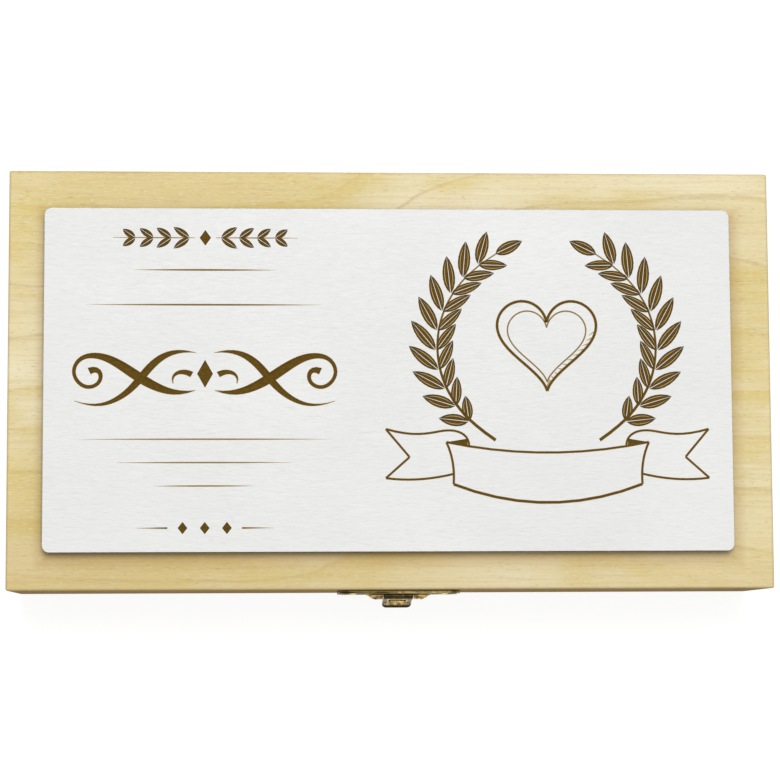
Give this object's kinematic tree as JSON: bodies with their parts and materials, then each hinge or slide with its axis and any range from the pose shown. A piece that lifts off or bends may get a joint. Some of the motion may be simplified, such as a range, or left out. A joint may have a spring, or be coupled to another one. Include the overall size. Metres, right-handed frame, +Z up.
{
  "type": "money gift box",
  "caption": "Hinged wooden box for a gift of banknotes: finger-jointed walls, plywood top and bottom, white painted plaque on the lid, brass hinges and a swinging brass clasp.",
  "frame": {"origin": "centre of the flat underside, on the surface that the box stands on", "axes": "+X along the length, to the right seen from the clasp's side; +Y towards the hinges at the back; +Z up through the lid"},
  "size_m": [0.175, 0.1018, 0.039],
  "materials": {
    "solid_wood": "bare sanded pale wood",
    "plywood": "bare sanded birch plywood",
    "painted_board": "matt white paint over wood grain, burnt brown edges and engraving",
    "brass": "bright brass plate",
    "pin_brass": "bright brass plate",
    "nail_brass": "bright brass plate"
  },
  "bodies": {
    "base": {"base_front_wall": "solid_wood", "base_back_wall": "solid_wood", "base_left_wall": "solid_wood", "base_right_wall": "solid_wood", "base_bottom_panel": "plywood", "left_hinge_base_leaf": "brass", "right_hinge_base_leaf": "brass", "left_hinge_pin": "pin_brass", "right_hinge_pin": "pin_brass", "hinge_base_nails": "nail_brass", "catch_plate": "brass", "catch_nails": "nail_brass"},
    "lid": {"lid_front_wall": "solid_wood", "lid_back_wall": "solid_wood", "lid_left_wall": "solid_wood", "lid_right_wall": "solid_wood", "lid_top_panel": "plywood", "plaque": "painted_board", "left_hinge_lid_leaf": "brass", "right_hinge_lid_leaf": "brass", "hinge_lid_nails": "nail_brass", "hasp_plate": "brass", "hasp_pin": "pin_brass", "hasp_nails": "nail_brass"},
    "tongue": {"clasp_tongue": "brass"}
  },
  "joints": [
    {"name": "lid_hinge", "type": "hinge", "parent": "base", "child": "lid", "pos_m": [0, 0.04908, 0.023], "axis": [-1, 0, 0], "range_deg": [0, 180]},
    {"name": "clasp_swing", "type": "hinge", "parent": "lid", "child": "tongue", "pos_m": [0.0018, -0.04913, 0.025], "axis": [-1, 0, 0], "range_deg": [-12, 138]}
  ]
}
